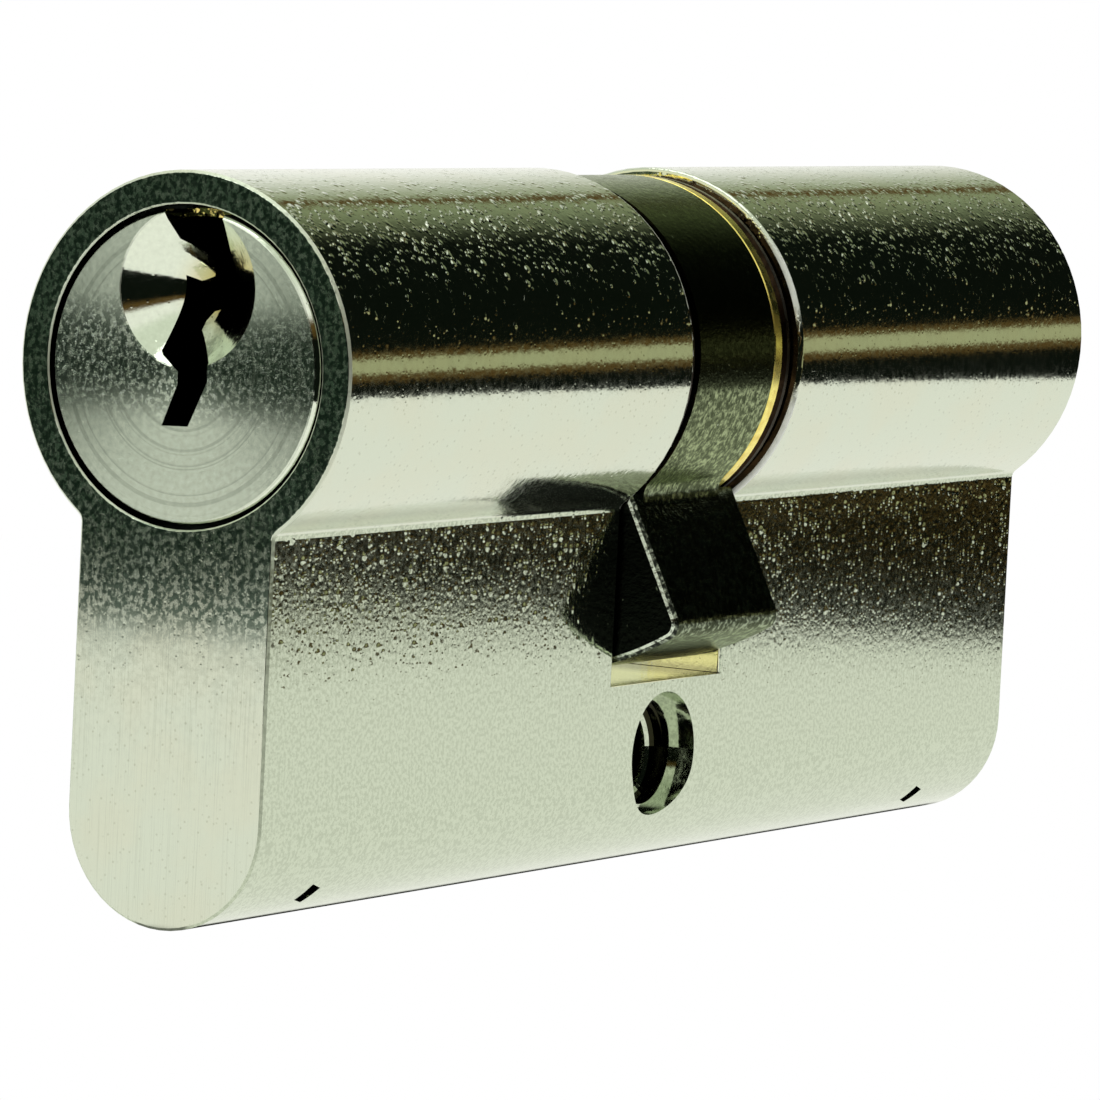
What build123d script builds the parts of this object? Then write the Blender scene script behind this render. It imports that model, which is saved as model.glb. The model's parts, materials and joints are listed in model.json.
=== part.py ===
"""Euro-profile double cylinder for a door's deadbolt lock, keyed from both sides.

Frame: origin at the centre of the fixing-screw hole, X along the barrel from the outside end to the inside end,
Y along the fixing screw, Z up. Millimetres.
"""
import math
import os

from build123d import *

# ---- the euro profile
LENGTH = 70.0
HEIGHT = 33.0
BARREL_R = 8.5
WEB_WIDTH = 10.0
WEB_FOOT_R = WEB_WIDTH / 2
NECK_FILLET = 0.5
END_CHAMFER = 0.13
HALF = LENGTH / 2

# ---- heights above the fixing-screw hole
AXIS_Z = 18.8
BOTTOM_Z = AXIS_Z + BARREL_R - HEIGHT
FOOT_Z = BOTTOM_Z + WEB_FOOT_R

# ---- fixing-screw hole, M5 right through the web
SCREW_R = 2.5
SCREW_ENTRY_R = 2.95
SCREW_ENTRY_DEPTH = 1.1

# ---- slot that the cam turns in
SLOT_HALF = 5.15
SLOT_FLOOR_Z = AXIS_Z - 15.3
SLOT_ROUND = 0.2

# ---- plug bore and plugs
BORE_R = 6.5
MOUTH_R = 7.04
MOUTH_DEPTH = 1.5
MOUTH_CHAMFER = 0.08
PLUG_R = 6.45
FLANGE_R = 6.87
FLANGE_DEPTH = 1.4
RIM_CHAMFER = 0.2
PLUG_END = 3.55
SPIGOT_R = 5.5
SPIGOT_END = 0.5
DISH_R = 3.5
DISH_RISE = 3.4
DISH_DEPTH = 3.0
KEYWAY_END = 9.0

# ---- retaining rings, and the thrust washer between the cam and the inside one
GROOVE_R = 5.6
GROOVE_NEAR = 4.22
GROOVE_FAR = 4.95
CLIP_R = 8.1
CLIP_INNER_R = 5.65
CLIP_NEAR = 4.28
CLIP_THICK = 0.62
CLIP_OPENING = 9.4
CLIP_EDGE = 0.18
WASHER_R = 8.15
WASHER_INNER_R = 6.5
WASHER_NEAR = 3.22
WASHER_THICK = 0.7
WASHER_EDGE = 0.06

# ---- cam
CAM_RING_R = 8.15
CAM_RING_OUTSIDE = 3.95
CAM_RING_INSIDE = 3.15
CAM_BORE_R = 5.55
CAM_RECESS_R = 6.55
CAM_RECESS_END = 3.45
CAM_NOTCH_R = 6.9
TAB_HALF = 4.95
TAB_TIP_R = 15.0
TAB_ROOT_R = 8.25
TAB_LEAN = 20.0
TAB_FLARE = 6.6
TAB_OFFSET = 1.9
TAB_CORNER = 0.8
TAB_ROOT_FILLET = 1.0
CAM_EDGE = 0.25

# ---- clutch slider between the two plugs
CLUTCH_SLOT = 3.2
CLUTCH_THICK = 3.1
CLUTCH_R = 6.8
CLUTCH_NEAR = 0.6
CLUTCH_FAR = 3.2
CLUTCH_SLOT_END = 3.4
NOSE_R = 1.5
NOSE_BORE_R = 1.6
NOSE_REACH = 3.0

# ---- pin stacks, one set in each half
PIN_X = [28.5, 24.5, 20.5, 16.5, 12.5]
CHAMBER_R = 1.5
PIN_R = 1.45
PIN_HOLE_TOP = 2.3
KEY_PIN_LENGTHS = {"outside": [4.8, 5.8, 4.3, 6.2, 5.3], "inside": [5.3, 4.3, 6.2, 4.8, 5.8]}
KEY_PIN_FOOT = -6.36
PIN_CHAMFER = 0.3
KEY_PIN_TIP = 0.7
DRIVER_TOP = -6.54
DRIVER_LENGTH = 4.5
DRIVER_TAIL_R = 0.85
DRIVER_TAIL = 1.3
CAP_THICK = 2.4
SPRING_R = 1.1
SPRING_WIRE_R = 0.16
SPRING_TURNS = 8
SPRING_GAP = 0.02

# ---- stake marks beside the outermost chambers
STAKE_ANGLE = 44.0
STAKE_SIZE = (1.0, 1.1, 0.7)
STAKE_SLANT = 20.0

SIDES = {"outside": -1, "inside": 1}
FLAT = 1e-4


def rod(radius, x_from, x_to):
    """A round bar on the barrel's axis."""
    bar = Rot(0, 90, 0) * Cylinder(radius, abs(x_to - x_from))
    return Pos((x_from + x_to) / 2, 0, AXIS_Z) * bar


def stub(radius, x, z_from, z_to):
    """An upright round bar in the middle of the web."""
    return Pos(x, 0, (z_from + z_to) / 2) * Cylinder(radius, z_to - z_from)


def edges_at(solid, x):
    """The edges of a solid that lie in the plane at this X."""
    def is_there(edge):
        box = edge.bounding_box()
        return abs(box.min.X - x) < FLAT and abs(box.max.X - x) < FLAT

    return solid.edges().filter_by(is_there)


def euro_profile():
    """The cross-section: a round barrel over a web with a round foot."""
    web = Pos(0, (AXIS_Z + FOOT_Z) / 2) * Rectangle(WEB_WIDTH, AXIS_Z - FOOT_Z)
    outline = Pos(0, AXIS_Z) * Circle(BARREL_R) + web + Pos(0, FOOT_Z) * Circle(WEB_FOOT_R)
    necks = outline.vertices().filter_by(lambda v: v.Y > FOOT_Z + 1 and v.Y < AXIS_Z)
    return fillet(necks, NECK_FILLET)


def blank():
    """The profile bar, cut to length, with its ends chamfered."""
    bar = extrude(Plane.YZ.offset(-HALF) * euro_profile(), LENGTH)
    ends = edges_at(bar, -HALF) + edges_at(bar, HALF)
    return chamfer(ends, END_CHAMFER)


def stake_mark(x, side):
    """A small slanted punch mark on the round foot of the web."""
    turn = Pos(x, 0, FOOT_Z) * Rot(side * STAKE_ANGLE, 0, 0)
    return turn * Pos(0, 0, -WEB_FOOT_R) * Rot(0, 0, STAKE_SLANT) * Box(*STAKE_SIZE)


def cylinder_body():
    """The one-piece body: bores, pin chambers, cam slot and fixing-screw hole."""
    body = blank()
    slot_height = AXIS_Z + BARREL_R + 1 - SLOT_FLOOR_Z
    slot = Pos(0, 0, SLOT_FLOOR_Z + slot_height / 2) * Box(2 * SLOT_HALF, 3 * BARREL_R, slot_height)
    body -= slot
    rims = edges_at(body, -SLOT_HALF) + edges_at(body, SLOT_HALF)
    rims = rims.filter_by(lambda e: e.center().Z > SLOT_FLOOR_Z + 0.01)
    body = fillet(rims, SLOT_ROUND)
    body -= rod(BORE_R, -HALF - 1, HALF + 1)
    for side in SIDES.values():
        body -= rod(MOUTH_R, side * HALF, side * (HALF - MOUTH_DEPTH))
        mouth = Rot(0, side * 90, 0) * Cone(MOUTH_R, MOUTH_R + MOUTH_CHAMFER, MOUTH_CHAMFER)
        body -= Pos(side * (HALF - MOUTH_CHAMFER / 2), 0, AXIS_Z) * mouth
        for x in PIN_X:
            body -= stub(CHAMBER_R, side * x, BOTTOM_Z - 1, AXIS_Z - BORE_R + 1)
        for face in (-1, 1):
            body -= stake_mark(side * PIN_X[0], face)
    body -= Rot(90, 0, 0) * Cylinder(SCREW_R, 2 * WEB_WIDTH)
    for face in (-1, 1):
        y = face * (WEB_WIDTH / 2 - SCREW_ENTRY_DEPTH + WEB_WIDTH / 2)
        body -= Pos(0, y, 0) * Rot(90, 0, 0) * Cylinder(SCREW_ENTRY_R, WEB_WIDTH)
    return body


def keyway():
    """The keyway's cross-section seen from outside, with its warding ribs, open at the plug's top."""
    points = [
        (1.0, -2.6), (0.28, -0.78), (0.28, -0.2), (1.25, 0.42), (1.4, 0.6), (1.4, 3.85), (0.9, 3.62),
        (0.45, 3.85), (0.17, 4.45), (0.25, 4.85), (1.2, 5.45), (1.35, 6.3), (1.35, 8.0),
        (-1.75, 8.0), (-1.63, 6.3), (-1.12, 4.8), (-1.03, 4.1), (-0.75, 2.65), (0.1, 2.35),
        (0.24, 1.95), (0.2, 1.55), (-1.2, 0.25), (-1.25, -0.55), (-0.35, -2.55),
    ]
    return make_face(Polyline(*points, close=True))


def plug(side):
    """A plug at the outside end, turned about the lock's middle for the inside end."""
    x = -HALF
    shape = rod(FLANGE_R, x, x + FLANGE_DEPTH)
    shape = chamfer(edges_at(shape, x), RIM_CHAMFER)
    shape += rod(PLUG_R, x + FLANGE_DEPTH, -PLUG_END)
    shape += rod(SPIGOT_R, -PLUG_END, -SPIGOT_END)
    shape -= rod(PLUG_R + 1, -GROOVE_FAR, -GROOVE_NEAR) - rod(GROOVE_R, -GROOVE_FAR, -GROOVE_NEAR)
    shape -= rod(NOSE_BORE_R, -KEYWAY_END - 1, -SPIGOT_END)
    slot_length = CLUTCH_SLOT_END - SPIGOT_END
    shape -= Pos(-SPIGOT_END - slot_length / 2, 0, AXIS_Z) * Box(slot_length, CLUTCH_SLOT, 2 * PLUG_R)
    for pin_x in PIN_X:
        shape -= stub(CHAMBER_R, -pin_x, AXIS_Z - PLUG_R - 1, AXIS_Z + PIN_HOLE_TOP)
    shape -= extrude(Plane.YZ.offset(x) * Pos(0, AXIS_Z) * keyway(), HALF - KEYWAY_END)
    dish = Rot(0, -90, 0) * Cone(DISH_R - DISH_DEPTH, DISH_R, DISH_DEPTH)
    shape -= Pos(x + DISH_DEPTH / 2, 0, AXIS_Z + DISH_RISE) * dish
    return shape if side < 0 else Rot(0, 0, 180) * shape


def circlip(side):
    """A retaining ring that snaps into the plug's groove from the side."""
    ring = rod(CLIP_R, CLIP_NEAR, CLIP_NEAR + CLIP_THICK) - rod(CLIP_INNER_R, CLIP_NEAR, CLIP_NEAR + CLIP_THICK)
    ring -= Pos(CLIP_NEAR + CLIP_THICK / 2, CLIP_R, AXIS_Z) * Box(2, 2 * CLIP_R, CLIP_OPENING)
    outer = ring.edges().filter_by(GeomType.CIRCLE).filter_by(lambda e: e.radius > CLIP_R - 0.01)
    ring = chamfer(outer, CLIP_EDGE)
    return ring if side > 0 else mirror(ring, Plane.YZ)


def thrust_washer():
    """A brass washer that takes up the room between the cam's ring and the inside retaining ring."""
    far = WASHER_NEAR + WASHER_THICK
    washer = rod(WASHER_R, WASHER_NEAR, far) - rod(WASHER_INNER_R, WASHER_NEAR, far)
    outer = washer.edges().filter_by(GeomType.CIRCLE).filter_by(lambda e: e.radius > WASHER_R - 0.01)
    return chamfer(outer, WASHER_EDGE)


def tab_outline():
    """The cam tab's cross-section, pointing down: two flared flanks and an arc tip, from the axis outwards."""
    flare = math.tan(math.radians(TAB_FLARE))
    root = TAB_OFFSET / math.cos(math.radians(TAB_FLARE))
    reach = TAB_TIP_R + 2
    wide = root + reach * flare
    wedge = make_face(Polyline((root, 0), (wide, -reach), (-wide, -reach), (-root, 0), close=True))
    outline = wedge & Circle(TAB_TIP_R)
    corners = outline.vertices().filter_by(lambda v: v.Y < -TAB_TIP_R / 2)
    return fillet(corners, TAB_CORNER)


def cam():
    """The cam: a ring round the two plugs' spigots with one tab that throws the bolt."""
    ring = Circle(CAM_RING_R)
    lean = Rotation(0, 0, -TAB_LEAN)
    joined = ring + lean * tab_outline()
    necks = joined.vertices().filter_by(lambda v: abs(math.hypot(v.X, v.Y) - CAM_RING_R) < 0.01)
    joined = fillet(necks, TAB_ROOT_FILLET)
    ring_length = CAM_RING_OUTSIDE + CAM_RING_INSIDE
    middle = extrude(Plane.YZ.offset(-CAM_RING_OUTSIDE) * Pos(0, AXIS_Z) * joined, ring_length)
    tab = extrude(Plane.YZ.offset(-TAB_HALF) * Pos(0, AXIS_Z) * lean * tab_outline(), 2 * TAB_HALF)
    tab -= rod(TAB_ROOT_R, -TAB_HALF, TAB_HALF)
    shape = middle + tab
    shape = chamfer(edges_at(shape, -TAB_HALF) + edges_at(shape, TAB_HALF), CAM_EDGE)
    shape -= rod(CAM_BORE_R, -TAB_HALF, TAB_HALF)
    shape -= rod(CAM_RECESS_R, -TAB_HALF, -CAM_RECESS_END)
    notch = Pos(0, 0, AXIS_Z) * Box(2 * TAB_HALF, CLUTCH_SLOT, 4 * CAM_NOTCH_R)
    return shape - (notch & rod(CAM_NOTCH_R, -TAB_HALF, TAB_HALF))


def clutch_slider():
    """The sliding bar that ties the cam to one plug, with a nose each way for the key's tip to push."""
    length = CLUTCH_FAR - CLUTCH_NEAR
    middle = -(CLUTCH_FAR + CLUTCH_NEAR) / 2
    bar = Pos(middle, 0, AXIS_Z) * Box(length, CLUTCH_THICK, 4 * CLUTCH_R)
    bar &= rod(CLUTCH_R, -CLUTCH_FAR, -CLUTCH_NEAR)
    nose = rod(NOSE_R, -CLUTCH_FAR - NOSE_REACH, -CLUTCH_NEAR + NOSE_REACH)
    tips = edges_at(nose, -CLUTCH_FAR - NOSE_REACH) + edges_at(nose, -CLUTCH_NEAR + NOSE_REACH)
    return bar + chamfer(tips, PIN_CHAMFER)


def key_pin(x, length):
    """A pin in the plug, with a blunt cone that rides on the key's cuts."""
    foot = AXIS_Z + KEY_PIN_FOOT
    pin = stub(PIN_R, x, foot, foot + length)
    pin = chamfer(pin.edges().group_by(Axis.Z)[-1], KEY_PIN_TIP)
    return chamfer(pin.edges().group_by(Axis.Z)[0], PIN_CHAMFER)


def driver_pin(x):
    """A pin in the body, under a key pin, with a tail inside the spring."""
    top = AXIS_Z + DRIVER_TOP
    pin = stub(PIN_R, x, top - DRIVER_LENGTH, top)
    pin = chamfer(pin.edges().group_by(Axis.Z)[-1], PIN_CHAMFER)
    return pin + stub(DRIVER_TAIL_R, x, top - DRIVER_LENGTH - DRIVER_TAIL, top - DRIVER_LENGTH)


def spring(x):
    """A coil spring between a driver pin and its chamber cap."""
    low = BOTTOM_Z + CAP_THICK + SPRING_GAP + SPRING_WIRE_R
    high = AXIS_Z + DRIVER_TOP - DRIVER_LENGTH - SPRING_GAP - SPRING_WIRE_R
    coil = Helix((high - low) / SPRING_TURNS, high - low, SPRING_R)
    wire = Plane(origin=coil @ 0, z_dir=coil % 0) * Circle(SPRING_WIRE_R)
    return Pos(x, 0, low) * sweep(wire, path=coil, is_frenet=True)


def chamber_caps(side):
    """The pressed-in plugs that close the pin chambers, dressed flush with the foot of the web."""
    bar = blank()
    caps = [stub(CHAMBER_R, side * x, BOTTOM_Z - 1, BOTTOM_Z + CAP_THICK) & bar for x in PIN_X]
    return Compound(children=caps)


os.makedirs("parts", exist_ok=True)
export_step(cylinder_body(), "parts/cylinder_body.step")
export_step(cam(), "parts/cam.step")
export_step(clutch_slider(), "parts/clutch_slider.step")
export_step(thrust_washer(), "parts/thrust_washer.step")
for name, side in SIDES.items():
    export_step(plug(side), f"parts/{name}_plug.step")
    export_step(circlip(side), f"parts/{name}_circlip.step")
    export_step(chamber_caps(side), f"parts/{name}_chamber_caps.step")
    for number, x in enumerate(PIN_X, start=1):
        length = KEY_PIN_LENGTHS[name][number - 1]
        export_step(key_pin(side * x, length), f"parts/{name}_key_pin_{number}.step")
        export_step(driver_pin(side * x), f"parts/{name}_driver_pin_{number}.step")
        export_step(spring(side * x), f"parts/{name}_spring_{number}.step")
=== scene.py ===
"""Looks for the euro-profile double cylinder: materials, screw thread, springs, camera, lights and floor."""
import json
import math

import bmesh
import bpy
from mathutils import Matrix, Vector


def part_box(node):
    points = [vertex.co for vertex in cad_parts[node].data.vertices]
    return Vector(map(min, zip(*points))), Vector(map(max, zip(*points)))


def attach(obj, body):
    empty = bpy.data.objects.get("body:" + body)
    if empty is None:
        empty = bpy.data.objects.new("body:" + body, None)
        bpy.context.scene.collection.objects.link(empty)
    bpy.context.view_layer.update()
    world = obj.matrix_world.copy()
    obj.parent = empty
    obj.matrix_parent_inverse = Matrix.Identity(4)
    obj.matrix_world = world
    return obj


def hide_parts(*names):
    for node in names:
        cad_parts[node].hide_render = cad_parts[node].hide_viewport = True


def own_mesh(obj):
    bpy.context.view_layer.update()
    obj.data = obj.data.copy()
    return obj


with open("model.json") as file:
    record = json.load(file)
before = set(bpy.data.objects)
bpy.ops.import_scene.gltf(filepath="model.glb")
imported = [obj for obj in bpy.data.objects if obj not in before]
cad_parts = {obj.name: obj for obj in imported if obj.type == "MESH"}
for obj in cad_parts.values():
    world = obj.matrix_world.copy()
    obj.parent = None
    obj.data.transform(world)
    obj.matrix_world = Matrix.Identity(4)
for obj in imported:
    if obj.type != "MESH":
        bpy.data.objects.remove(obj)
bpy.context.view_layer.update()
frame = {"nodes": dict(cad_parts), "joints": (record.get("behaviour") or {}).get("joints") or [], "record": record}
MM = 0.001

# ---- places taken from the frame
record = frame["record"]
mounts = {mount["name"]: mount for mount in record["mounts"]}
joints = {joint["name"]: joint for joint in frame["joints"]}
AXIS_Z = joints["outside_plug_turn"]["pos_m"][2]
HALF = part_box("cylinder_body")[1].x
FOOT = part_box("cylinder_body")[0].z

# ---- the CAD's own sizes, which the materials need to tell one face from another
SLOT_HALF = 5.15 * MM
SLOT_FLOOR = AXIS_Z - 15.3 * MM
BORE_R = 6.5 * MM
MOUTH_R = 7.04 * MM
BARREL_R = 8.5 * MM
WEB_HALF = 5.0 * MM
WEB_TOP = AXIS_Z - 6.9 * MM  # just under the line where the web meets the barrel
CAM_RING_R = 8.15 * MM
SCREW_ENTRY_DEPTH = 1.1 * MM
STAKE_X = 28.5 * MM
END_CHAMFER = 0.13 * MM
TOLERANCE = 0.02 * MM


# ---- node helpers
class Nodes:
    """A node tree under construction: short names for the node types that are used often."""

    def __init__(self, tree):
        self.tree = tree
        tree.nodes.clear()

    def new(self, kind):
        return self.tree.nodes.new(kind)

    def axes(self, vector):
        """The x, y and z outputs of a vector."""
        split = self.new("ShaderNodeSeparateXYZ")
        self.link(vector, split.inputs[0])
        return split.outputs

    def link(self, output, socket):
        self.tree.links.new(output, socket)

    def put(self, value, socket):
        """Links an output to a socket, or sets the socket to a number or a colour."""
        if isinstance(value, bpy.types.NodeSocket):
            self.link(value, socket)
        else:
            socket.default_value = value

    def math(self, operation, a, b=0.0, c=0.0):
        node = self.new("ShaderNodeMath")
        node.operation = operation
        for value, socket in zip((a, b, c), node.inputs):
            self.put(value, socket)
        return node.outputs[0]

    def ramp(self, value, low, high, to_low=0.0, to_high=1.0):
        """A smooth step of value from low to high."""
        node = self.new("ShaderNodeMapRange")
        node.interpolation_type = "SMOOTHSTEP"
        for number, socket in zip((value, low, high, to_low, to_high), node.inputs):
            self.put(number, socket)
        return node.outputs[0]

    def vector(self, x, y, z):
        node = self.new("ShaderNodeCombineXYZ")
        for value, socket in zip((x, y, z), node.inputs):
            self.put(value, socket)
        return node.outputs[0]

    def scaled(self, vector, sizes):
        """A vector divided by a size in metres along each axis."""
        node = self.new("ShaderNodeVectorMath")
        node.operation = "DIVIDE"
        self.put(vector, node.inputs[0])
        node.inputs[1].default_value = sizes
        return node.outputs[0]

    def noise(self, vector, detail=2.0, rough=0.5):
        node = self.new("ShaderNodeTexNoise")
        node.inputs["Scale"].default_value = 1.0
        node.inputs["Detail"].default_value = detail
        node.inputs["Roughness"].default_value = rough
        self.put(vector, node.inputs["Vector"])
        return node.outputs["Fac"]

    def cells(self, vector):
        """Distance from the nearest of scattered points."""
        node = self.new("ShaderNodeTexVoronoi")
        node.inputs["Scale"].default_value = 1.0
        self.put(vector, node.inputs["Vector"])
        return node.outputs["Distance"]

    def random_cells(self, vector):
        """Distance from the nearest of scattered points, and a random number for that point."""
        distance = self.cells(vector)
        parts = self.new("ShaderNodeSeparateColor")
        self.link(distance.node.outputs["Color"], parts.inputs[0])
        return distance, parts.outputs[0]

    def mix(self, share, a, b):
        node = self.new("ShaderNodeMix")
        node.data_type = "RGBA"
        self.put(share, node.inputs["Factor"])
        self.put(a, node.inputs["A"])
        self.put(b, node.inputs["B"])
        return node.outputs["Result"]

    def bump(self, height, depth, before=None):
        """Raises the surface by height times depth, in metres."""
        node = self.new("ShaderNodeBump")
        node.inputs["Distance"].default_value = depth
        self.put(height, node.inputs["Height"])
        if before is not None:
            self.link(before, node.inputs["Normal"])
        return node.outputs["Normal"]

    def times(self, first, *others):
        """The product of two or more values."""
        for other in others:
            first = self.math("MULTIPLY", first, other)
        return first

    def above(self, value, limit):
        return self.math("GREATER_THAN", value, limit)

    def below(self, value, limit):
        return self.math("LESS_THAN", value, limit)

    def size_of(self, value):
        """The value without its sign."""
        return self.math("ABSOLUTE", value)

    def hypot(self, a, b):
        """The long side of a right triangle."""
        return self.math("SQRT", self.math("MULTIPLY_ADD", b, b, self.math("MULTIPLY", a, a)))


class Shader(Nodes):
    """A material under construction, read at the object's own coordinates."""

    def __init__(self, name):
        self.material = bpy.data.materials.new(name)
        self.material.use_nodes = True
        super().__init__(self.material.node_tree)
        self.output = self.new("ShaderNodeOutputMaterial")
        self.bsdf = self.new("ShaderNodeBsdfPrincipled")
        self.link(self.bsdf.outputs["BSDF"], self.output.inputs["Surface"])
        coords = self.new("ShaderNodeTexCoord")
        self.place = coords.outputs["Object"]
        self.normal = coords.outputs["Normal"]
        self.x, self.y, self.z = self.axes(self.place)

    def radius(self):
        """Distance from the barrel's axis."""
        return self.hypot(self.y, self.math("SUBTRACT", self.z, AXIS_Z))

    def slant(self):
        """0 on a wall that runs along the barrel's axis, 1 on a face square to it."""
        return self.size_of(self.axes(self.normal)[0])

    def noise_at(self, sizes, detail=2.0, rough=0.5):
        """Noise with grains of the given size in metres along each axis."""
        return self.noise(self.scaled(self.place, sizes), detail, rough)


# ---- colours of the nickel, brass and iron
NICKEL = (0.65, 0.70, 0.58, 1)
NICKEL_WARM = (0.66, 0.69, 0.56, 1)
NICKEL_WEB = (0.59, 0.65, 0.51, 1)
NICKEL_FACE = (0.82, 0.88, 0.74, 1)
NICKEL_PIT = (0.30, 0.31, 0.22, 1)
WEB_SPECK = (0.30, 0.34, 0.25, 1)
# painted shade for the upper web
WEB_PAINTED_SHADE = (0.20, 0.22, 0.14, 1)
DRAWN_LINE = (0.35, 0.38, 0.30, 1)
TURNED_LINE = (0.36, 0.40, 0.32, 1)
# painted shade for the end faces
END_PAINTED_SHADE = (0.10, 0.15, 0.11, 1)
# the next three colours are the plug face's band: painted dark blotches, painted glints and painted shade
FACE_PAINTED_BLOTCH = (0.04, 0.07, 0.045, 1)
FACE_PAINTED_GLINT = (0.90, 0.95, 0.85, 1)
FACE_SHADE = (0.08, 0.12, 0.08, 1)
# painted highlight for the slot's rims
PAINTED_EDGE_HIGHLIGHT = (0.97, 1.0, 0.94, 1)
# painted shade, black, for gaps and shaded faces
PAINTED_SHADE_BLACK = (0.01, 0.012, 0.01, 1)
# painted shade, near black, for recesses
RECESS_PAINTED_SHADE = (0.02, 0.02, 0.015, 1)
# painted shade for the thread in the fixing-screw hole
THREAD_PAINTED_SHADE = (0.02, 0.02, 0.01, 1)
BRASS = (0.85, 0.70, 0.24, 1)
BRASS_DULL = (0.60, 0.46, 0.15, 1)
BRASS_DISH = (0.62, 0.52, 0.22, 1)
SLOT_BRASS = (0.90, 0.88, 0.62, 1)
# painted shade for the slot floor
SLOT_PAINTED_SHADE = (0.10, 0.08, 0.03, 1)
IRON_DARK = (0.02, 0.025, 0.015, 1)
IRON_LIGHT = (0.065, 0.08, 0.045, 1)
# painted shade for the cam ring's waist
IRON_PAINTED_SHADE = (0.004, 0.005, 0.003, 1)
IRON_SPECK = (0.32, 0.37, 0.22, 1)
IRON_NICK = (0.45, 0.5, 0.4, 1)
IRON_TINT = (0.80, 0.86, 0.68, 1)
TAB_DARK = (0.02, 0.024, 0.018, 1)
TAB_GRAIN = (0.30, 0.34, 0.26, 1)
# painted highlight for the tab's corners
TAB_CORNER_HIGHLIGHT = (0.62, 0.68, 0.56, 1)


def nicks(s, sizes, power):
    """Scattered round nicks, most of them faint: a higher power leaves fewer deep ones."""
    spot, chance = s.random_cells(s.scaled(s.place, sizes))
    return s.math("MULTIPLY", s.ramp(spot, 0.0, 0.5, 1.0, 0.0), s.math("POWER", chance, power))


def body_skin(s, end, below_barrel, ripple, pit, brushed):
    """The body's bumps: ripples, pits and nicks on the outside, drawn lines on the ends."""
    large = nicks(s, (0.5 * MM, 0.46 * MM, 0.5 * MM), 3.0)
    small = nicks(s, (0.28 * MM, 0.24 * MM, 0.26 * MM), 2.0)
    barrel_nicked = s.times(
        s.ramp(s.z, AXIS_Z + 1.2 * MM, AXIS_Z + 2.4 * MM, 0.05, 1.0),
        s.ramp(s.z, AXIS_Z + 2.6 * MM, AXIS_Z + 5.2 * MM, 1.0, 2.2),
        s.ramp(s.z, AXIS_Z + 6.6 * MM, AXIS_Z + 7.6 * MM, 1.0, 0.35),
    )
    web_nicked = s.times(s.ramp(s.z, AXIS_Z - 16 * MM, AXIS_Z - 9 * MM, 0.0, 0.6), below_barrel)
    nicked = s.math("MAXIMUM", barrel_nicked, web_nicked)
    skin = s.bump(ripple, 0.004 * MM)
    skin = s.bump(pit, 0.002 * MM, skin)
    skin = s.bump(s.times(large, nicked), 0.05 * MM, skin)
    skin = s.bump(s.times(small, nicked), 0.026 * MM, skin)
    face = s.bump(brushed, 0.003 * MM)
    face = s.bump(s.math("ADD", ripple, pit), 0.001 * MM, face)
    normal = s.new("ShaderNodeMix")
    normal.data_type = "VECTOR"
    s.put(end, normal.inputs["Factor"])
    s.put(skin, normal.inputs["A"])
    s.put(face, normal.inputs["B"])
    return normal.outputs["Result"]


def slot_rim_highlights(s, out_x):
    """1 where the slot's rims get painted highlights: all of the outside half's, and parts of the inside half's.
    """
    rim = s.times(
        s.above(s.radius(), BARREL_R - 0.23 * MM),
        s.above(s.z, SLOT_FLOOR + 1.5 * MM),
        s.below(s.radius(), BARREL_R + 0.1 * MM),
    )
    past = s.math("SUBTRACT", out_x, SLOT_HALF)
    from_middle = s.size_of(s.math("SUBTRACT", s.z, AXIS_Z + 0.1 * MM))
    near = s.times(s.below(s.x, 0.0), s.ramp(past, 0.14 * MM, 0.18 * MM, 1.0, 0.0))
    far = s.times(
        s.above(s.x, 0.0),
        s.ramp(past, 0.17 * MM, 0.21 * MM, 1.0, 0.0),
        s.ramp(from_middle, 1.2 * MM, 2.8 * MM),
        s.ramp(s.z, AXIS_Z + 4.5 * MM, AXIS_Z + 6 * MM, 1.0, 0.0),
    )
    return s.times(s.math("MAXIMUM", near, far), rim, s.above(past, -0.03 * MM))


def stake_marks(s, out_x):
    """1 in the small recesses staked into the foot over the first and last chambers."""
    foot_z = s.math("SUBTRACT", s.z, FOOT + WEB_HALF)
    return s.times(
        s.below(s.size_of(s.math("SUBTRACT", out_x, STAKE_X)), 0.9 * MM),
        s.above(s.size_of(s.y), 2.4 * MM),
        s.below(foot_z, -2.0 * MM),
        s.below(s.hypot(s.y, foot_z), WEB_HALF - 0.08 * MM),
    )


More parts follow.
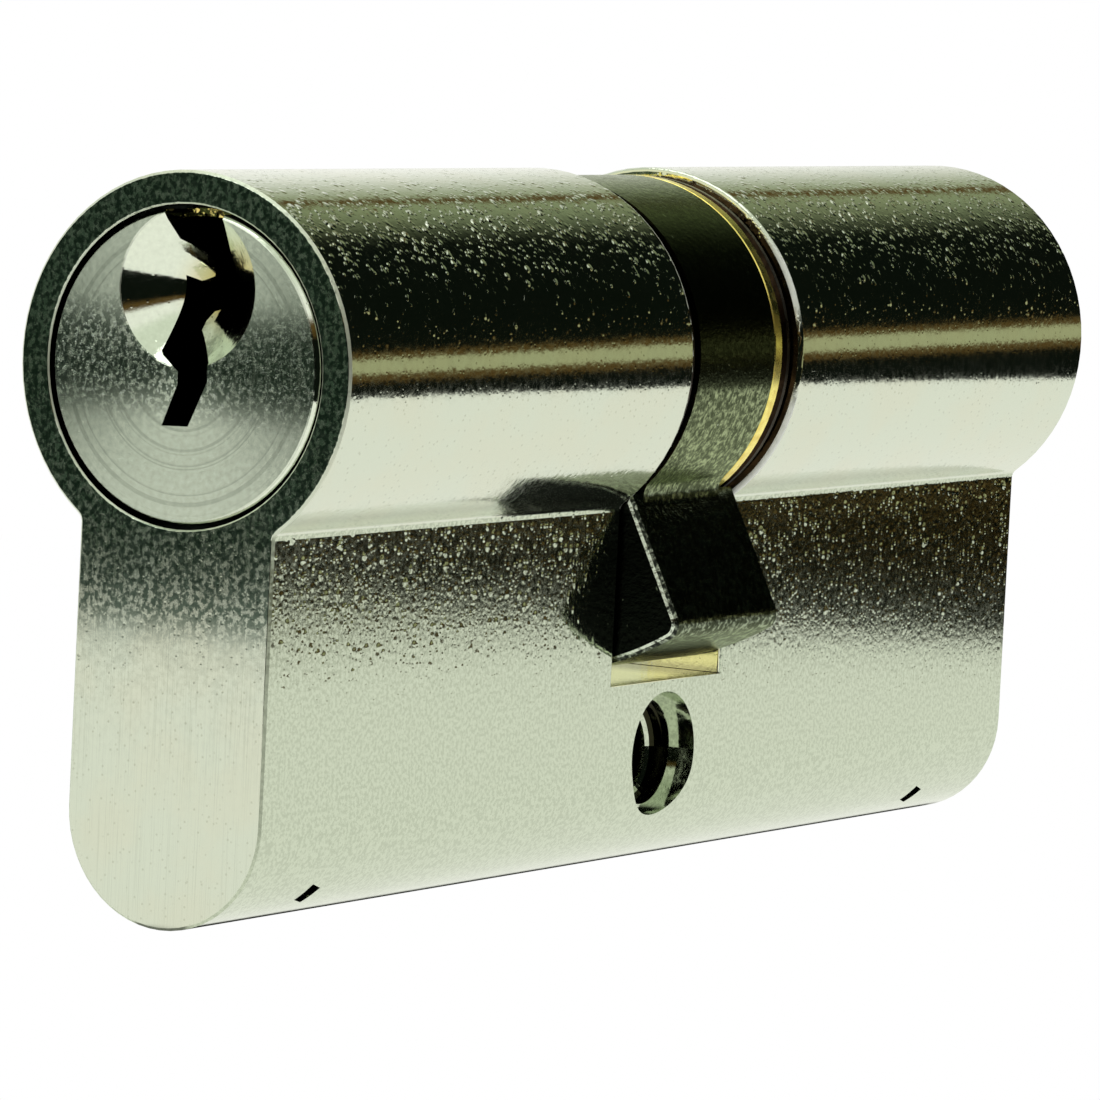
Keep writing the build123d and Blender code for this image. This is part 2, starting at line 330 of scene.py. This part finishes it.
def nickel_body():
    """Nickel plate over brass: pits and ripples outside, drawn lines on the ends, bare brass in the bore.

    The dark parts of the web and the ends are painted shade, and the slot's white rims are painted highlights. The
    gap round the plug, the stake marks, the thread and part of the slot floor are also darkened with painted
    shade.
    """
    s = Shader("nickel_body")
    out_x = s.size_of(s.x)
    end = s.above(out_x, HALF - TOLERANCE)
    below_barrel = s.below(s.z, WEB_TOP)
    in_slot = s.times(s.below(out_x, SLOT_HALF + TOLERANCE), s.above(s.z, SLOT_FLOOR - TOLERANCE))
    in_bore = s.below(s.radius(), MOUTH_R - 0.2 * MM)

    ripple = s.noise_at((0.3 * MM, 0.26 * MM, 0.26 * MM), 2.0, 0.5)
    pit = s.ramp(s.cells(s.scaled(s.place, (0.42 * MM, 0.34 * MM, 0.34 * MM))), 0.06, 0.24)
    patch = s.ramp(s.noise_at((4 * MM, 3 * MM, 3 * MM), 3.0), 0.35, 0.7)
    speck = s.ramp(s.noise_at((0.2 * MM, 0.2 * MM, 0.2 * MM), 2.0, 0.6), 0.42, 0.6)
    drawn = s.noise_at((1.0, 0.06 * MM, 6 * MM), 2.0, 0.6)
    fine = s.noise_at((1.0, 0.3 * MM, 5 * MM), 3.0, 0.6)
    blotch = s.noise_at((1.0, 0.26 * MM, 0.28 * MM), 2.0, 0.6)
    normal = body_skin(s, end, below_barrel, ripple, pit, s.math("ADD", drawn, fine))
    s.put(normal, s.bsdf.inputs["Normal"])

    plate = s.mix(patch, NICKEL, NICKEL_WARM)
    plate = s.mix(s.times(s.math("SUBTRACT", 1.0, pit), 0.3), plate, NICKEL_PIT)
    web = s.times(s.math("SUBTRACT", 1.0, end), below_barrel)
    plate = s.mix(web, plate, s.mix(s.times(speck, 0.35), NICKEL_WEB, WEB_SPECK))
    # Painted shade: a dark band along the upper web, just under the barrel.
    painted_web_shade = s.times(
        web,
        s.ramp(s.z, AXIS_Z - 14 * MM, AXIS_Z - 9.5 * MM, 0.0, 0.85),
        s.ramp(s.z, AXIS_Z - 8.8 * MM, AXIS_Z - 7.8 * MM, 1.0, 0.15),
        s.ramp(speck, 0.0, 1.0, 0.35, 1.0),
    )
    plate = s.mix(painted_web_shade, plate, WEB_PAINTED_SHADE)
    # Painted shade: mottled dark over the end faces above the foot.
    mottle = s.ramp(s.math("ADD", s.times(blotch, 0.8), s.times(fine, 0.2)), 0.42, 0.56)
    painted_end_shade = s.times(end, s.ramp(s.z, AXIS_Z - 12.3 * MM, AXIS_Z - 10.3 * MM), mottle, 0.92)
    plate = s.mix(painted_end_shade, plate, END_PAINTED_SHADE)
    plate = s.mix(s.times(end, s.ramp(drawn, 0.5, 0.68), 0.18), plate, DRAWN_LINE)
    # Painted shade: the gap between the bore's mouth and the plug is black.
    past_mouth = s.math("SUBTRACT", s.radius(), MOUTH_R)
    in_gap = s.times(
        s.below(past_mouth, TOLERANCE),
        s.above(past_mouth, -0.3 * MM),
        s.below(out_x, HALF - 0.1 * MM),
    )
    plate = s.mix(in_gap, plate, PAINTED_SHADE_BLACK)
    # Painted shade: the stake marks' recesses are dark, in blotches.
    plate = s.mix(s.times(stake_marks(s, out_x), s.ramp(blotch, 0.34, 0.44)), plate, RECESS_PAINTED_SHADE)

    raw = s.mix(s.noise_at((0.4 * MM, 0.4 * MM, 0.4 * MM), 3.0), BRASS_DULL, BRASS)
    # Painted shade: the slot floor darkens towards +x.
    painted_slot_shade = s.times(s.ramp(s.x, 1.2 * MM, 4.0 * MM), s.below(s.z, SLOT_FLOOR + TOLERANCE))
    colour = s.mix(in_slot, plate, s.mix(painted_slot_shade, SLOT_BRASS, SLOT_PAINTED_SHADE))
    colour = s.mix(in_bore, colour, raw)
    # Painted shade: the thread's flanks and roots between the crests are black.
    from_screw = s.hypot(s.x, s.z)
    thread_roots = s.times(
        s.above(from_screw, 2.28 * MM),
        s.below(from_screw, 2.6 * MM),
        s.below(s.size_of(s.y), WEB_HALF - SCREW_ENTRY_DEPTH - 0.05 * MM),
    )
    colour = s.mix(thread_roots, colour, THREAD_PAINTED_SHADE)
    # Painted highlight: the slot's rims are white, not metal, and rougher.
    painted_rim_highlight = slot_rim_highlights(s, out_x)
    s.put(s.mix(painted_rim_highlight, colour, PAINTED_EDGE_HIGHLIGHT), s.bsdf.inputs["Base Color"])
    s.put(s.math("SUBTRACT", 1.0, painted_rim_highlight), s.bsdf.inputs["Metallic"])
    chamfer = s.math("SUBTRACT", s.above(out_x, HALF - END_CHAMFER), end)
    rough_edge = s.math("MAXIMUM", chamfer, painted_rim_highlight)
    satin = s.ramp(ripple, 0.3, 0.7, 0.07, 0.13)
    s.put(s.math("MULTIPLY_ADD", rough_edge, 0.4, satin), s.bsdf.inputs["Roughness"])
    return s.material


def nickel_plug():
    """Turned nickel-plated plug: rings on the face, plating thinning to brass in the dish, painted shade in the
    keyway.

    The dark speckled band across the face is painted shade with painted dark blotches and painted glints, its
    shade deeper towards -y.
    """
    s = Shader("nickel_plug")
    depth = s.math("SUBTRACT", HALF, s.size_of(s.x))
    radius = s.radius()
    on_face = s.below(depth, 0.05 * MM)
    # The band below marks where painted shade, painted blotches and painted glints go on the face.
    from_middle = s.size_of(s.math("SUBTRACT", s.z, AXIS_Z + 0.3 * MM))
    band = s.times(s.ramp(from_middle, 0.8 * MM, 3.1 * MM, 1.0, 0.0), on_face)

    rings = s.noise(s.vector(s.math("DIVIDE", radius, 0.32 * MM), 0.0, 0.0), 2.0, 0.6)
    wide_rings = s.noise(s.vector(s.math("DIVIDE", radius, 0.3 * MM), 0.0, 0.0), 1.0)
    grain = s.noise_at((0.25 * MM, 0.25 * MM, 0.25 * MM), 3.0)
    pit = s.ramp(s.cells(s.scaled(s.place, (0.35 * MM, 0.35 * MM, 0.35 * MM))), 0.04, 0.2)
    spark = s.noise_at((1.0, 0.22 * MM, 0.2 * MM), 2.0, 0.6)
    blotch = s.ramp(s.noise_at((1.0, 0.3 * MM, 0.3 * MM), 2.0, 0.6), 0.40, 0.52)
    normal = s.bump(s.times(rings, on_face), 0.003 * MM)
    normal = s.bump(s.times(wide_rings, on_face), 0.003 * MM, normal)
    normal = s.bump(grain, 0.003 * MM, normal)
    normal = s.bump(pit, 0.003 * MM, normal)
    normal = s.bump(s.times(spark, band), 0.018 * MM, normal)
    s.put(normal, s.bsdf.inputs["Normal"])

    plate = s.mix(grain, NICKEL, NICKEL_FACE)
    plate = s.mix(s.ramp(depth, 1.5 * MM, 3.2 * MM), plate, BRASS_DISH)
    # Painted shade, painted glints and more painted shade towards -y, all inside the band.
    plate = s.mix(s.times(blotch, band, 0.9), plate, FACE_PAINTED_BLOTCH)
    plate = s.mix(s.times(s.ramp(spark, 0.54, 0.66), band), plate, FACE_PAINTED_GLINT)
    plate = s.mix(s.times(band, s.ramp(s.y, -3 * MM, 0.0, 0.55, 0.15)), plate, FACE_SHADE)
    plate = s.mix(s.times(s.ramp(rings, 0.5, 0.62), on_face, 0.42), plate, TURNED_LINE)
    # Painted shade: the plug's flange, back from the face, is black like the gap round it.
    rim_gap = s.times(s.above(radius, BORE_R + 0.2 * MM), s.above(depth, 0.21 * MM))
    plate = s.mix(rim_gap, plate, PAINTED_SHADE_BLACK)
    # Painted shade: the keyway darkens from the face inward.
    walls = s.times(
        s.below(s.slant(), 0.3),
        s.below(radius, BORE_R - 0.2 * MM),
        s.ramp(depth, 0.1 * MM, 0.8 * MM),
    )
    s.put(s.mix(walls, plate, RECESS_PAINTED_SHADE), s.bsdf.inputs["Base Color"])
    s.bsdf.inputs["Metallic"].default_value = 1.0
    s.bsdf.inputs["Anisotropic"].default_value = 0.95
    outward = s.new("ShaderNodeVectorMath")
    outward.operation = "NORMALIZE"
    s.link(s.vector(0.0, s.y, s.math("SUBTRACT", s.z, AXIS_Z)), outward.inputs[0])
    s.link(outward.outputs[0], s.bsdf.inputs["Tangent"])
    polish = s.ramp(grain, 0.3, 0.7, 0.04, 0.07)
    s.put(s.math("MULTIPLY_ADD", on_face, 0.18, polish), s.bsdf.inputs["Roughness"])
    return s.material


def sintered_iron():
    """Blackened sintered iron: a grainy surface with open pores and rubbed bright grains.

    The ring's dark waist is painted shade and the tab's bright corners are painted highlights.
    """
    s = Shader("sintered_iron")
    tab = s.ramp(s.radius(), CAM_RING_R + 0.05 * MM, CAM_RING_R + 0.45 * MM)
    slant = s.slant()
    grain = s.noise_at((0.34 * MM, 0.3 * MM, 0.3 * MM), 4.0, 0.6)
    streaky = s.noise_at((0.16 * MM, 0.3 * MM, 0.3 * MM), 3.0, 0.65)
    cloud = s.noise_at((2.0 * MM, 2.0 * MM, 2.0 * MM), 3.0)
    pore = s.ramp(s.cells(s.scaled(s.place, (0.3 * MM, 0.24 * MM, 0.24 * MM))), 0.08, 0.3)
    nick = s.ramp(s.noise_at((0.5 * MM, 0.3 * MM, 0.5 * MM), 1.0), 0.74, 0.8)
    normal = s.bump(s.times(grain, s.math("ADD", tab, 1.0)), 0.018 * MM)
    normal = s.bump(pore, 0.005 * MM, normal)
    s.put(normal, s.bsdf.inputs["Normal"])

    ring = s.mix(cloud, IRON_DARK, IRON_LIGHT)
    # Painted shade: a dark band round the ring's waist.
    waist = s.times(
        s.ramp(s.z, AXIS_Z - 1.5 * MM, AXIS_Z - 1.1 * MM),
        s.ramp(s.z, AXIS_Z + 2 * MM, AXIS_Z + 4 * MM, 1.0, 0.0),
        0.85,
    )
    ring = s.mix(waist, ring, IRON_PAINTED_SHADE)
    # The light specks are thick below the ring's waist and thin above it.
    speckled = s.math(
        "MAXIMUM",
        s.ramp(s.z, AXIS_Z - 1.6 * MM, AXIS_Z - 1.0 * MM, 1.0, 0.12),
        s.ramp(s.z, AXIS_Z + 4 * MM, AXIS_Z + 7.5 * MM, 0.0, 0.3),
    )
    speck = s.times(s.ramp(s.math("ADD", grain, streaky), 0.85, 1.25), speckled)
    ring = s.mix(speck, ring, IRON_SPECK)
    ring = s.mix(s.math("SUBTRACT", 1.0, pore), ring, IRON_DARK)
    flank = s.mix(s.ramp(grain, 0.45, 0.65), TAB_DARK, TAB_GRAIN)
    # Painted shade: the tab's faces square to the axis are black.
    flank = s.mix(s.above(slant, 0.9), flank, PAINTED_SHADE_BLACK)
    colour = s.mix(tab, ring, flank)
    # Painted highlight: bright grains along the tab's corners.
    corner = s.times(
        s.above(slant, 0.4),
        s.below(slant, 0.85),
        s.above(s.size_of(s.x), 4.84 * MM),
        s.ramp(grain, 0.3, 0.5),
    )
    colour = s.mix(corner, colour, TAB_CORNER_HIGHLIGHT)
    s.put(s.mix(nick, colour, IRON_NICK), s.bsdf.inputs["Base Color"])
    s.bsdf.inputs["Specular Tint"].default_value = IRON_TINT
    s.bsdf.inputs["Metallic"].default_value = 1.0
    s.put(s.ramp(grain, 0.3, 0.7, 0.26, 0.17), s.bsdf.inputs["Roughness"])
    return s.material


def turned_metal(name, light, dark, rough):
    """Small turned parts: fine rings round the barrel's axis, and a cloudy tarnish."""
    s = Shader(name)
    ring_pitch = 0.06 * MM
    outward = s.math("DIVIDE", s.radius(), ring_pitch)
    along = s.math("DIVIDE", s.x, ring_pitch)
    rings = s.noise(s.vector(outward, along, 0.0), 2.0)
    cloud = s.noise_at((0.7 * MM, 0.7 * MM, 0.7 * MM), 4.0, 0.6)
    s.put(s.bump(rings, 0.004 * MM), s.bsdf.inputs["Normal"])
    s.put(s.mix(s.ramp(cloud, 0.35, 0.7), light, dark), s.bsdf.inputs["Base Color"])
    s.bsdf.inputs["Metallic"].default_value = 1.0
    s.put(s.ramp(cloud, 0.3, 0.7, rough, rough + 0.15), s.bsdf.inputs["Roughness"])
    return s.material


BODY = nickel_body()
PLUG = nickel_plug()
IRON = sintered_iron()
WASHER = turned_metal("washer_brass", (0.97, 0.85, 0.24, 1), (0.80, 0.62, 0.14, 1), 0.2)
CLIP = turned_metal("clip_steel", (0.03, 0.018, 0.01, 1), (0.012, 0.008, 0.005, 1), 0.2)
PIN_BRASS = turned_metal("pin_brass", (0.80, 0.64, 0.24, 1), (0.60, 0.46, 0.16, 1), 0.18)
SPRING_STEEL = turned_metal("spring_steel", (0.62, 0.62, 0.60, 1), (0.42, 0.42, 0.40, 1), 0.22)
CLUTCH_STEEL = turned_metal("clutch_steel", (0.45, 0.45, 0.43, 1), (0.28, 0.28, 0.26, 1), 0.28)

MATERIAL_OF = {
    "body_nickel": BODY,
    "plug_nickel": PLUG,
    "cam_iron": IRON,
    "clutch_steel": CLUTCH_STEEL,
    "ring_steel": CLIP,
    "washer_brass": WASHER,
    "cap_brass": BODY,
    "key_pin_brass": PIN_BRASS,
    "driver_pin_brass": PIN_BRASS,
    "spring_steel": SPRING_STEEL,
}
for subpart in record["subparts"]:
    node = frame["nodes"][subpart["node"]]
    node.data.materials.clear()
    node.data.materials.append(MATERIAL_OF[subpart["material_slot"]])


# ---- wound pieces: the screw thread in the fixing-screw hole, and the pins' springs
def wound(name, rings, material):
    """A solid swept through closed rings of points and capped at both ends, fixed to the cylinder's body."""
    mesh = bpy.data.meshes.new(name)
    bm = bmesh.new()
    rows = [[bm.verts.new(point) for point in ring] for ring in rings]
    for one, two in zip(rows, rows[1:]):
        for k, corner in enumerate(one):
            after = (k + 1) % len(one)
            bm.faces.new((corner, two[k], two[after], one[after]))
    bm.faces.new(rows[0])
    bm.faces.new(rows[-1][::-1])
    bmesh.ops.recalc_face_normals(bm, faces=bm.faces)
    bm.to_mesh(mesh)
    bm.free()
    mesh.materials.append(material)
    piece = bpy.data.objects.new(name, mesh)
    bpy.context.scene.collection.objects.link(piece)
    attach(piece, "cylinder_body")
    return piece


def screw_thread():
    """The M5 thread's ridge, wound along the fixing-screw hole, with its ends run out to almost nothing."""
    hole = mounts["fixing_screw_hole"]["dims"]
    wall = hole["r_mm"] * MM
    length = hole["length_mm"] * MM
    pitch = 0.8 * MM
    crest = wall - 0.41 * MM
    root_half = 0.36 * MM
    crest_half = 0.07 * MM
    sunk = 0.03 * MM
    steps = 48
    count = int((length - 2 * root_half) / pitch * steps)
    run_out = steps // 2
    least_share = 0.02
    rings = []
    for i in range(count + 1):
        angle = 2 * math.pi * i / steps
        along = -length / 2 + root_half + pitch * i / steps
        share = max(least_share, min(1.0, i / run_out, (count - i) / run_out))
        top = wall - (wall - crest) * share
        section = [
            (wall + sunk, -root_half * share), (top, -crest_half * share),
            (top, crest_half * share), (wall + sunk, root_half * share),
        ]
        rings.append([(r * math.cos(angle), along + a, r * math.sin(angle)) for r, a in section])
    wound("fixing_screw_thread", rings, BODY)


def coil_spring(side, number):
    """A coil spring under a driver pin, standing in for the CAD's spring."""
    low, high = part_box(f"{side}_spring_{number}")
    pin_low, pin_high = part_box(f"{side}_driver_pin_{number}")
    middle = (pin_low.x + pin_high.x) / 2
    wire = 0.16 * MM
    coil = 1.1 * MM
    turns = 8
    steps = 40
    sides = 12
    rise = (high.z - low.z - 2 * wire) / (turns * steps)
    rings = []
    for i in range(turns * steps + 1):
        angle = 2 * math.pi * i / steps
        ring = []
        for k in range(sides):
            round_wire = 2 * math.pi * k / sides
            r = coil + wire * math.cos(round_wire)
            z = low.z + wire + rise * i + wire * math.sin(round_wire)
            ring.append((middle + r * math.cos(angle), r * math.sin(angle), z))
        rings.append(ring)
    spring = wound(f"{side}_coil_spring_{number}", rings, SPRING_STEEL)
    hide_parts(f"{side}_spring_{number}")
    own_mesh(spring)


screw_thread()
PINS_PER_PLUG = 5
for side in ("outside", "inside"):
    for number in range(1, PINS_PER_PLUG + 1):
        coil_spring(side, number)


# ---- camera
CAMERA_PLACE = Vector((-298.109, -172.170, 38.315)) * MM
CAMERA_AZIMUTH = math.radians(-59.7465)
CAMERA_ELEVATION = math.radians(4.8456)
CAMERA_ROLL = math.radians(2.8601)
CAMERA_LENS = 239.0


def make_camera():
    """A long lens at the photograph's viewing angle, rolled a little as the photograph is."""
    data = bpy.data.cameras.new("camera")
    data.lens = CAMERA_LENS
    data.sensor_width = 36.0
    data.clip_start = 10 * MM
    camera = bpy.data.objects.new("camera", data)
    bpy.context.scene.collection.objects.link(camera)
    level = math.cos(CAMERA_ELEVATION)
    back_x = math.sin(CAMERA_AZIMUTH) * level
    back_y = -math.cos(CAMERA_AZIMUTH) * level
    back = Vector((back_x, back_y, math.sin(CAMERA_ELEVATION)))
    flat_right = (-back).cross(Vector((0, 0, 1))).normalized()
    flat_up = flat_right.cross(-back)
    right = flat_right * math.cos(CAMERA_ROLL) + flat_up * math.sin(CAMERA_ROLL)
    up = flat_up * math.cos(CAMERA_ROLL) - flat_right * math.sin(CAMERA_ROLL)
    camera.matrix_world = Matrix.Translation(CAMERA_PLACE) @ Matrix((right, up, back)).transposed().to_4x4()
    bpy.context.scene.camera = camera


make_camera()


# ---- floor, surroundings and lights
SHEET_HEADING = math.radians(-30.6)
SHEET_NEAR = -0.170
SHEET_FAR = 0.125
SHEET_LEFT = -0.105
SHEET_RIGHT = 0.160
SHEET_SOFT = 0.006
FLOOR_HALF = 0.6

CAMERA_WHITE = (1.0, 1.0, 1.0, 1)
FLOOR_LIGHT = (1.0, 1.0, 0.95, 1)
DARK_ROOM_AND_SHADOW = (0.004, 0.006, 0.004, 1)
DARK_TABLE = (0.035, 0.058, 0.04, 1)
OLIVE = (0.30, 0.35, 0.20, 1)
HORIZON_TAN = (0.44, 0.45, 0.26, 1)
HORIZON_BROWN = (0.10, 0.06, 0.018, 1)
BACKDROP = (1.0, 1.0, 0.95, 1)
WALL = (0.75, 0.80, 0.72, 1)
OVERHEAD = (0.78, 0.83, 0.72, 1)


def make_floor():
    """A glowing sheet with soft edges, which shows white to the camera.

    A strip under the foot is a painted shadow, dark to the object, which gives the thin dark line along its lower
    edge.
    """
    mesh = bpy.data.meshes.new("floor")
    corners = [(x * FLOOR_HALF, y * FLOOR_HALF, FOOT) for x, y in ((-1, -1), (1, -1), (1, 1), (-1, 1))]
    mesh.from_pydata(corners, [], [(0, 1, 2, 3)])
    floor = bpy.data.objects.new("floor", mesh)
    bpy.context.scene.collection.objects.link(floor)
    s = Shader("floor_white")
    turn_x, turn_y = math.cos(SHEET_HEADING), math.sin(SHEET_HEADING)
    along = s.math("ADD", s.times(s.x, turn_x), s.times(s.y, turn_y))
    across = s.math("SUBTRACT", s.times(s.y, turn_x), s.times(s.x, turn_y))
    share = s.times(
        s.ramp(along, SHEET_FAR, SHEET_FAR + SHEET_SOFT, 1.0, 0.0),
        s.ramp(along, SHEET_NEAR - SHEET_SOFT, SHEET_NEAR),
        s.ramp(across, SHEET_RIGHT, SHEET_RIGHT + SHEET_SOFT, 1.0, 0.0),
        s.ramp(across, SHEET_LEFT - SHEET_SOFT, SHEET_LEFT),
    )
    # Painted shadow: a dark strip under the foot, seen only in reflections.
    painted_contact_shadow = s.times(
        s.ramp(s.size_of(s.y), 1.2 * MM, 1.6 * MM, 1.0, 0.0),
        s.ramp(s.size_of(s.x), 34 * MM, 37 * MM, 1.0, 0.0),
    )
    glow = s.new("ShaderNodeEmission")
    rays = s.new("ShaderNodeLightPath")
    shaded = s.mix(painted_contact_shadow, FLOOR_LIGHT, DARK_ROOM_AND_SHADOW)
    s.put(s.mix(rays.outputs["Is Camera Ray"], shaded, CAMERA_WHITE), glow.inputs["Color"])
    clear = s.new("ShaderNodeBsdfTransparent")
    mixed = s.new("ShaderNodeMixShader")
    s.put(share, mixed.inputs[0])
    s.link(clear.outputs[0], mixed.inputs[1])
    s.link(glow.outputs[0], mixed.inputs[2])
    s.link(mixed.outputs[0], s.output.inputs["Surface"])
    mesh.materials.append(s.material)


# Headings are in degrees from +X, heights are the z of a direction. A band of four rises over the
# first two and falls over the last two, and a pair rises from the first to the second.
FRONT = (-80, -60, 2, 12)
OLIVE_SIDE = (-8, 15, 100, 125)
BACKDROP_SIDE = (14, 32, 100, 125)
BACKDROP_RIM = (12.4, 13.8, 15.8, 17.2)
NEAR_END_SIDE = (-179, -165, -105, -90)
TABLE_SIDE = (100, 125)
WALL_SIDE = (95, 115)
BROWN_HEIGHTS = (-0.085, -0.055, 0.07, 0.105)
TAN_HEIGHTS = (-0.034, -0.022, 0.045, 0.06)
WALL_HEIGHT = (0.0, 0.05)
RIM_HEIGHT = (0.1, 0.3)
NEAR_END_BROWN_HEIGHT = (0.26, 0.36)
NEAR_END_WHITE_HEIGHT = (0.4, 0.5)
OVERHEAD_HEIGHT = (0.62, 0.8)


def make_world():
    """White to the camera; round the object a dark room, a white backdrop behind, a tan strip in front."""
    world = bpy.data.worlds.new("studio")
    bpy.context.scene.world = world
    world.use_nodes = True
    n = Nodes(world.node_tree)
    out = n.new("ShaderNodeOutputWorld")
    coords = n.new("ShaderNodeTexCoord")
    x, y, z = n.axes(coords.outputs["Generated"])
    heading = n.times(n.math("ARCTAN2", y, x), 180 / math.pi)

    def band(value, limits):
        low, low_full, high_full, high = limits
        return n.times(n.ramp(value, low, low_full), n.ramp(value, high_full, high, 1.0, 0.0))

    front = band(heading, FRONT)
    near_end = band(heading, NEAR_END_SIDE)
    layers = [
        (n.times(front, band(z, BROWN_HEIGHTS)), HORIZON_BROWN),
        (n.times(front, band(z, TAN_HEIGHTS)), HORIZON_TAN),
        (band(heading, OLIVE_SIDE), OLIVE),
        (band(heading, BACKDROP_SIDE), BACKDROP),
        (n.times(n.ramp(heading, *WALL_SIDE), n.ramp(z, *WALL_HEIGHT)), WALL),
        (n.times(near_end, n.ramp(z, *NEAR_END_BROWN_HEIGHT)), HORIZON_BROWN),
        (n.times(near_end, n.ramp(z, *NEAR_END_WHITE_HEIGHT)), BACKDROP),
        (n.times(band(heading, BACKDROP_RIM), n.ramp(z, *RIM_HEIGHT)), HORIZON_BROWN),
        (n.ramp(z, *OVERHEAD_HEIGHT), OVERHEAD),
    ]
    colour = n.mix(n.ramp(heading, *TABLE_SIDE), DARK_ROOM_AND_SHADOW, DARK_TABLE)
    for share, shown in layers:
        colour = n.mix(share, colour, shown)
    rays = n.new("ShaderNodeLightPath")
    colour = n.mix(rays.outputs["Is Camera Ray"], colour, CAMERA_WHITE)
    background = n.new("ShaderNodeBackground")
    n.put(colour, background.inputs["Color"])
    n.put(background.outputs[0], out.inputs["Surface"])


def area_light(name, place, target, side, power):
    """A square softbox that faces its target."""
    data = bpy.data.lights.new(name, "AREA")
    data.shape = "SQUARE"
    data.size = side
    data.energy = power
    light = bpy.data.objects.new(name, data)
    light.location = place
    light.rotation_mode = "QUATERNION"
    light.rotation_quaternion = (Vector(target) - Vector(place)).to_track_quat("-Z", "Y")
    bpy.context.scene.collection.objects.link(light)


make_floor()
make_world()
area_light("overhead_softbox", place=(0.0, 0.05, 0.5), target=(0, 0, 0), side=0.4, power=0.6)
bpy.context.scene.view_settings.view_transform = "Standard"
